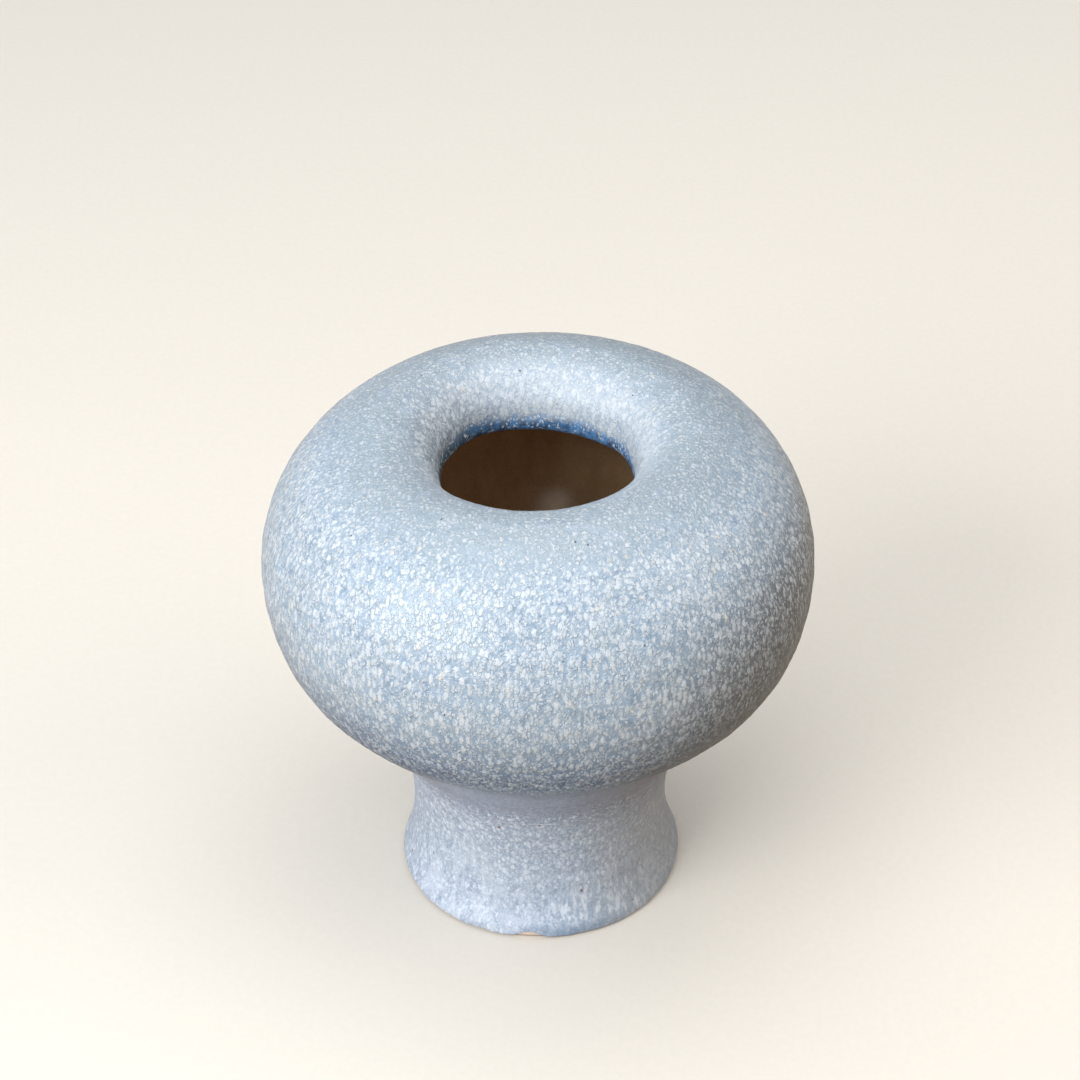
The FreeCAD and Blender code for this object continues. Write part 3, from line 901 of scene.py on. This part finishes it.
def bulb_glaze_material():
    """Speckled glaze: zones follow the slope of the wall and the way from throat and seam."""
    recipe = Recipe("speckled_glaze")
    zone = bulb_zones(recipe)
    dust = recipe.grain(*DUST)
    white, speck = bulb_specks(recipe, zone)
    colour = recipe.blend(white, bulb_base(recipe, zone), speck)
    colour = bulb_shades(recipe, zone, colour, dust)
    # Pinholes: pits in the glaze, painted near black as the shade inside them.
    holes = dots(recipe, 4.5, 1.0, 0.05, 0.10, None, 0.86)
    colour = recipe.blend(holes, colour, PINHOLE_SHADE)
    roughness = recipe.plus(recipe.faded(white, 0.30, 0.42), recipe.times(zone.inner, 0.12))
    still = recipe.times(zone.neck, recipe.step(zone.rise, *SPECK_FADE))
    height = recipe.stacked(BULB_MARKS, white=white, vein=zone.vein, dust=dust)
    height = recipe.times(height, recipe.faded(still, 1.0, STILL_SHARE))
    height = recipe.times(height, recipe.faded(zone.inner, 1.0, INNER_SHARE))
    height = recipe.plus(height, recipe.times(holes, BULB_MARKS["hole"]))
    return recipe.finish(colour, roughness, height, 0.7)


def foot_specks(recipe, rise, low, streaks):
    """Mask of the foot's specks, which fade upwards, and of the pale runs below them."""
    wander = recipe.wander(1.2, 1.6)
    reach = recipe.step(rise, *SPECK_FADE, MEETING_REACH, 0.0)
    specks, chance, _ = recipe.specks(wander, FOOT_DASH_CELL, reach, 0.22)
    fines, _, _ = recipe.specks(wander, FOOT_FINE_CELL, reach, 0.22)
    runs = recipe.times(recipe.step(recipe.grain(*PALE_STREAK), 0.42, 0.61), low)
    runs = recipe.times(runs, recipe.step(streaks, 0.0, 0.6, 0.35, 0.95))
    specks = recipe.times(specks, recipe.faded(chance, 0.5, 0.9))
    white = recipe.most(specks, recipe.times(fines, 0.55))
    return recipe.most(white, runs)


def foot_colour(recipe, white, vein, joint, low, streaks):
    """Pale blue with a pale wash and painted highlight on one side, blue runs on the other and a
    blue pool between.
    """
    edge = recipe.trait("from_start")
    base = recipe.blend(recipe.step(vein, 0.35, 0.7, 0.0, 0.45), FOOT_BLUE, NECK_GREY)
    base = recipe.blend(joint, base, NECK_GREY)
    # Paler on the foot's lit left side: partly a thin wash of glaze, partly painted highlight.
    wash = recipe.times(recipe.near(*WASH_AND_HIGHLIGHT_SPOT), recipe.step(recipe.grain(*WASH_AND_HIGHLIGHT_GRAIN), 0.40, 0.62))
    base = recipe.blend(recipe.times(wash, 0.6), base, FOOT_PALE)
    colour = recipe.blend(white, base, FOOT_PALE)
    blue = recipe.step(recipe.grain(*BLUE_STREAK), 0.48, 0.60)
    blue = recipe.times(blue, recipe.times(low, streaks))
    colour = recipe.blend(recipe.times(blue, 0.80), colour, BELLY_BLUE)
    broken = recipe.plus(recipe.times(recipe.grain(*FOOT_MOTTLE), 4.0), recipe.times(vein, 5.0))
    pooled = recipe.step(recipe.plus(edge, broken), *FOOT_POOL_LINE)
    pooled = recipe.times(pooled, recipe.near(*BLUE_POOL_SPOT))
    return recipe.blend(recipe.times(pooled, 0.8), colour, VEIN_BLUE)


def foot_glaze_material():
    """The same glaze, thinner and smoother at the joint, streaked lower down, with painted shade
    on its right.
    """
    recipe = Recipe("streaked_glaze")
    seam = recipe.trait("to_end")
    rise = over_seam(recipe, recipe.times(seam, -1.0))
    joint = recipe.step(rise, *JOINT_FADE)
    low = recipe.step(recipe.trait("from_start"), *STREAK_LINE)
    streaks = recipe.near(*STREAK_SPOT)
    vein = recipe.grain(*FOOT_VEIN)
    dust = recipe.grain(*DUST)
    white = foot_specks(recipe, rise, low, streaks)
    colour = foot_colour(recipe, white, vein, joint, low, streaks)
    # Painted shade, warm grey and darker towards the seam, on the right side of the foot.
    side = recipe.toward(FOOT_CENTRE, *RIGHT_SHADE_SIDE)
    right_shade = recipe.blend(recipe.step(seam, 22.0, 2.0), WARM_SHADE_GREY, WARM_SHADE_DARK)
    colour = recipe.blend(recipe.times(side, RIGHT_SHADE_AMOUNT), colour, right_shade)
    colour = recipe.shaded(colour, faint_grain(recipe, joint))
    colour = recipe.shaded(colour, recipe.step(dust, *DUST_RANGE, 0.88, 1.10))
    iron = dots(recipe, 5.0, 1.3, 0.07, 0.15, 0.8, 0.86)
    colour = recipe.blend(iron, colour, IRON_BROWN)
    height = recipe.stacked(FOOT_MARKS, white=white, vein=vein, dust=dust)
    height = recipe.times(height, recipe.faded(joint, 1.0, STILL_SHARE))
    return recipe.finish(colour, recipe.faded(white, 0.34, 0.46), height, 0.5)


def liner_material():
    """Brown liner glaze: mostly matt, painted shade darker towards +X, one wet spot and a painted
    highlight.
    """
    recipe = Recipe("liner_glaze")
    flow = recipe.grain(*LINER_FLOW)
    dust = recipe.grain(*LINER_DUST)
    colour = recipe.blend(recipe.step(flow, *GRAIN_RANGE), LINER_BROWN, LINER_DARK)
    colour = recipe.shaded(colour, recipe.step(dust, *GRAIN_RANGE, 0.92, 1.06))
    # Painted shade: the liner lighter towards -X and darker towards +X.
    thick = recipe.toward(FOOT_CENTRE, *LINER_SHADE_CHANGE)
    colour = recipe.shaded(colour, recipe.faded(thick, 1.16, 0.64))
    # Painted highlight: a pale spot where the low inner wall reflects the mouth.
    colour = recipe.blend(recipe.near(*LINER_HIGHLIGHT_SPOT), colour, LINER_HIGHLIGHT)
    wet = recipe.times(recipe.near(*WET_SPOT), -0.56)
    roughness = recipe.plus(recipe.step(flow, *GRAIN_RANGE, 0.68, 0.80), wet)
    height = recipe.stacked(LINER_MARKS, flow=flow, dust=dust)
    return recipe.finish(colour, roughness, height, 0.4)


def clay_material(name, base):
    """Bare fired clay: matt, gritty, with a few iron spots."""
    recipe = Recipe(name)
    patch = recipe.grain(*CLAY_PATCH)
    grit = recipe.grain(*CLAY_GRIT)
    lines = recipe.grain(*THROWING_LINES)
    colour = recipe.shaded(base, recipe.step(patch, *GRAIN_RANGE, 0.90, 1.08))
    colour = recipe.shaded(colour, recipe.step(grit, *GRAIN_RANGE, 0.88, 1.08))
    iron = dots(recipe, 5.0, 1.0, 0.04, 0.10, 0.7, 0.50)
    colour = recipe.blend(iron, colour, IRON_BROWN)
    height = recipe.stacked(CLAY_MARKS, grit=grit, lines=lines)
    return recipe.finish(colour, 0.85, height, 0.3)


# ---------------------------------------------------------------- pieces

def place_piece(made, node, material):
    made.data.materials.append(material)
    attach(made, "root")
    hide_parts(node)


def build_glaze_coat(node, relief, material):
    """An outer glaze coat: its outer face is fine, the face on the clay is coarse."""
    rough = runs_between_corners(node, [HIDDEN_STEP])
    outer = max(range(len(rough)), key=lambda k: float(rough[k][:, 0].max()))
    steps = [GLAZE_STEP if k == outer else HIDDEN_STEP for k in range(len(rough))]
    turning = Turning(runs_between_corners(node, steps), outer)
    made = turned(node + "_coat", turning, GLAZE_TURNS, relief)
    place_piece(made, node, material)
    return made


def build_clay(node, material):
    turning = Turning(runs_between_corners(node, [CLAY_STEP]), None)
    made = turned(node + "_body", turning, CLAY_TURNS)
    place_piece(made, node, material)
    return made


def build_pieces():
    clay = clay_material("stoneware_clay", CLAY_PINK)
    build_clay("bulb_shell", clay)
    build_clay("pedestal_foot", clay)
    build_clay("slip_joint", clay_material("joining_slip", CLAY_BUFF))
    build_clay("liner_glaze", liner_material())
    build_glaze_coat("bulb_glaze", bulb_relief, bulb_glaze_material())
    build_glaze_coat("foot_glaze", foot_relief, foot_glaze_material())


# ---------------------------------------------------------------- studio

FLOOR_SIDE = 16.0
FLOOR_GAP = 0.02 * MM
FLOOR_COLOUR = (0.74, 0.69, 0.62, 1.0)
FLOOR_BOUNCE = (0.39, 0.325, 0.25, 1.0)
SKY_COLOUR = (0.94, 0.97, 1.0, 1.0)
SKY_DARK = 0.28
SKY_BRIGHT = 0.82
WINDOW_SIDE = (-0.80, -0.45, 0.40)

# Lamps: direction from the vase, distance, width and height in metres, watts and colour.
LAMPS = (
    ("window", (-0.64, -0.58, 0.50), 1.7, 1.15, 0.85, 24.0, (0.97, 0.99, 1.0)),
    ("side_fill", (0.80, -0.12, 0.58), 1.6, 1.1, 0.8, 7.5, (1.0, 0.96, 0.91)),
    ("ceiling", (0.0, 0.05, 1.0), 1.6, 1.4, 1.4, 10.0, (1.0, 1.0, 1.0)),
)

CAMERA_TILT = math.radians(36.54)
CAMERA_ROLL = math.radians(0.86)
CAMERA_AIM = Vector((1.37 * MM, 0.0, 146.36 * MM))
CAMERA_AWAY = 1.033
CAMERA_SIGHT = 20.0
SENSOR_WIDTH = 36.0
LENS = 95.07


def build_floor():
    """A broad sheet of pale paper just under the foot, darker and warmer in its own light."""
    half = 0.5 * FLOOR_SIDE
    mesh = bpy.data.meshes.new("floor")
    ring = ((-half, -half), (half, -half), (half, half), (-half, half))
    mesh.from_pydata([(x, y, -FLOOR_GAP) for x, y in ring], [], [(0, 1, 2, 3)])
    floor = bpy.data.objects.new("floor", mesh)
    bpy.context.scene.collection.objects.link(floor)
    recipe = Recipe("floor_paper")
    fibre = recipe.grain(*PAPER_FIBRE)
    seen = recipe.node("ShaderNodeLightPath").outputs["Is Camera Ray"]
    colour = recipe.blend(seen, FLOOR_BOUNCE, FLOOR_COLOUR)
    colour = recipe.shaded(colour, recipe.step(fibre, *GRAIN_RANGE, 0.99, 1.01))
    mesh.materials.append(recipe.finish(colour, 0.8, recipe.times(fibre, 0.02), 0.3))


def soft_light(name, toward, distance, width, height, power, colour):
    """A rectangular lamp that faces the vase from a direction seen from the vase."""
    lamp = bpy.data.lights.new(name, "AREA")
    lamp.shape = "RECTANGLE"
    lamp.size = width
    lamp.size_y = height
    lamp.energy = power
    lamp.color = colour
    made = bpy.data.objects.new(name, lamp)
    aim = Vector(toward).normalized()
    made.location = Vector((0.0, 0.0, BELLY)) + aim * distance
    made.rotation_euler = aim.to_track_quat("Z", "Y").to_euler()
    bpy.context.scene.collection.objects.link(made)


def build_sky():
    """A pale sky that is brighter on the window's side."""
    world = bpy.data.worlds.new("soft_sky")
    world.use_nodes = True
    tree = world.node_tree
    sky = tree.nodes["Background"]
    sky.inputs["Color"].default_value = SKY_COLOUR
    toward = tree.nodes.new("ShaderNodeTexCoord")
    side = tree.nodes.new("ShaderNodeVectorMath")
    side.operation = "DOT_PRODUCT"
    side.inputs[1].default_value = WINDOW_SIDE
    tree.links.new(toward.outputs["Generated"], side.inputs[0])
    level = tree.nodes.new("ShaderNodeMapRange")
    level.interpolation_type = "SMOOTHSTEP"
    level.inputs["From Min"].default_value = -1.0
    level.inputs["To Min"].default_value = SKY_DARK
    level.inputs["To Max"].default_value = SKY_BRIGHT
    tree.links.new(side.outputs["Value"], level.inputs["Value"])
    tree.links.new(level.outputs["Result"], sky.inputs["Strength"])
    bpy.context.scene.world = world


def build_camera():
    """A camera that looks down at the vase from the front, on a slightly rolled frame."""
    ahead = Vector((0.0, math.cos(CAMERA_TILT), -math.sin(CAMERA_TILT)))
    right = Vector((1.0, 0.0, 0.0))
    down = ahead.cross(right)
    across = right * math.cos(CAMERA_ROLL) + down * math.sin(CAMERA_ROLL)
    upward = right * math.sin(CAMERA_ROLL) - down * math.cos(CAMERA_ROLL)
    place = CAMERA_AIM - ahead * CAMERA_AWAY
    data = bpy.data.cameras.new("camera")
    data.sensor_width = SENSOR_WIDTH
    data.lens = LENS
    data.clip_end = CAMERA_SIGHT
    camera = bpy.data.objects.new("camera", data)
    basis = Matrix((across, upward, -ahead)).transposed().to_4x4()
    camera.matrix_world = Matrix.Translation(place) @ basis
    bpy.context.scene.collection.objects.link(camera)
    bpy.context.scene.camera = camera


build_pieces()
build_floor()
build_sky()
for lamp in LAMPS:
    soft_light(*lamp)
build_camera()
bpy.context.scene.view_settings.view_transform = "Standard"
